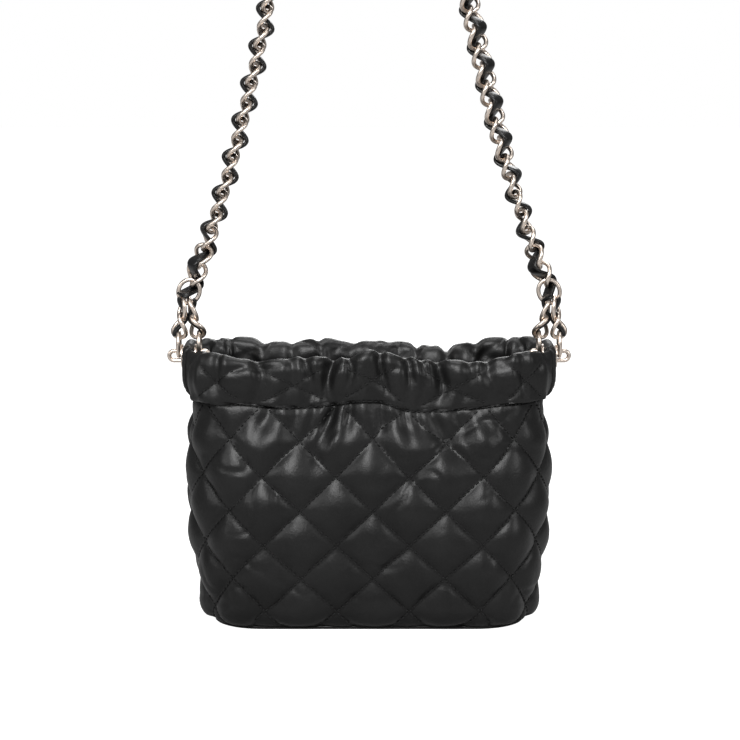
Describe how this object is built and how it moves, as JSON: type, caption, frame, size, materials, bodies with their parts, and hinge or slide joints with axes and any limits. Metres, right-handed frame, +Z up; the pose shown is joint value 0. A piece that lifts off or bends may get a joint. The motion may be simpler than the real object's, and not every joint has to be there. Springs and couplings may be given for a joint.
{
  "type": "bucket bag",
  "caption": "Small quilted leather bucket bag with a gathered elastic mouth, side eyelets and a chain shoulder strap laced with leather.",
  "frame": {"origin": "centre of the flat base, on the surface that the bag stands on", "axes": "+Z up, +X to the right seen from the front, -Y is the front"},
  "size_m": [0.2204, 0.092, 0.5057],
  "materials": {
    "quilted_leather": "semi-gloss smooth lambskin",
    "lace_leather": "glazed narrow strip",
    "padding": "needled wadding",
    "lining_fabric": "plain woven twill",
    "zip_tape": "ribbed tape",
    "elastic": "braided elastic",
    "board": "salpa board",
    "dark_metal": "satin plated",
    "pale_metal": "polished pale gold plate"
  },
  "bodies": {
    "bag": {"back_elastic": "elastic", "back_lining": "lining_fabric", "back_padding": "padding", "back_quilted_leather": "quilted_leather", "back_rim_tunnel": "quilted_leather", "back_snap_half": "dark_metal", "base_board": "board", "base_leather": "quilted_leather", "base_lining": "lining_fabric", "front_elastic": "elastic", "front_lining": "lining_fabric", "front_padding": "padding", "front_quilted_leather": "quilted_leather", "front_rim_tunnel": "quilted_leather", "front_snap_half": "dark_metal", "left_eyelet": "pale_metal", "left_eyelet_washer": "pale_metal", "left_side_tab": "quilted_leather", "pocket_panel": "lining_fabric", "right_eyelet": "pale_metal", "right_eyelet_washer": "pale_metal", "right_side_tab": "quilted_leather", "zip_end_stops": "dark_metal", "zip_tape": "zip_tape", "zip_teeth": "dark_metal"},
    "strap_ends": {"left_end_loop_chain": "pale_metal", "left_end_loop_lace": "lace_leather", "left_eyelet_link": "pale_metal", "left_junction_link": "pale_metal", "right_end_loop_chain": "pale_metal", "right_end_loop_lace": "lace_leather", "right_eyelet_link": "pale_metal", "right_junction_link": "pale_metal"},
    "strap_lower": {"left_chain_lower": "pale_metal", "left_lace_lower": "lace_leather", "right_chain_lower": "pale_metal", "right_lace_lower": "lace_leather"},
    "strap_middle": {"left_chain_middle": "pale_metal", "left_lace_middle": "lace_leather", "right_chain_middle": "pale_metal", "right_lace_middle": "lace_leather"},
    "strap_upper": {"left_chain_upper": "pale_metal", "left_lace_upper": "lace_leather", "right_chain_upper": "pale_metal", "right_lace_upper": "lace_leather"},
    "shoulder_run": {"shoulder_chain": "pale_metal", "shoulder_lace": "lace_leather"},
    "zip_slider": {"zip_slider": "dark_metal"},
    "zip_pull": {"zip_pull": "dark_metal"}
  },
  "joints": [
    {"name": "strap_swing_at_eyelets", "type": "hinge", "parent": "bag", "child": "strap_ends", "pos_m": [0, 0, 0.1445], "axis": [1, 0, 0], "range_deg": [-22, 22]},
    {"name": "strap_fold_1", "type": "hinge", "parent": "strap_ends", "child": "strap_lower", "pos_m": [0, 0, 0.18453], "axis": [1, 0, 0], "range_deg": [-28, 28]},
    {"name": "strap_fold_2", "type": "hinge", "parent": "strap_lower", "child": "strap_middle", "pos_m": [0, 0, 0.24253], "axis": [1, 0, 0], "range_deg": [-28, 28]},
    {"name": "strap_fold_3", "type": "hinge", "parent": "strap_middle", "child": "strap_upper", "pos_m": [0, 0, 0.33174], "axis": [1, 0, 0], "range_deg": [-28, 28]},
    {"name": "strap_fold_4", "type": "hinge", "parent": "strap_upper", "child": "shoulder_run", "pos_m": [0, 0, 0.42209], "axis": [1, 0, 0], "range_deg": [-28, 28]},
    {"name": "zip_travel", "type": "slide", "parent": "bag", "child": "zip_slider", "axis": [-1, 0, 0], "range_m": [0, 0.092]},
    {"name": "zip_pull_flip", "type": "hinge", "parent": "zip_slider", "child": "zip_pull", "pos_m": [0.046, 0.0332, 0.077], "axis": [1, 0, 0], "range_deg": [-80, 0]}
  ]
}
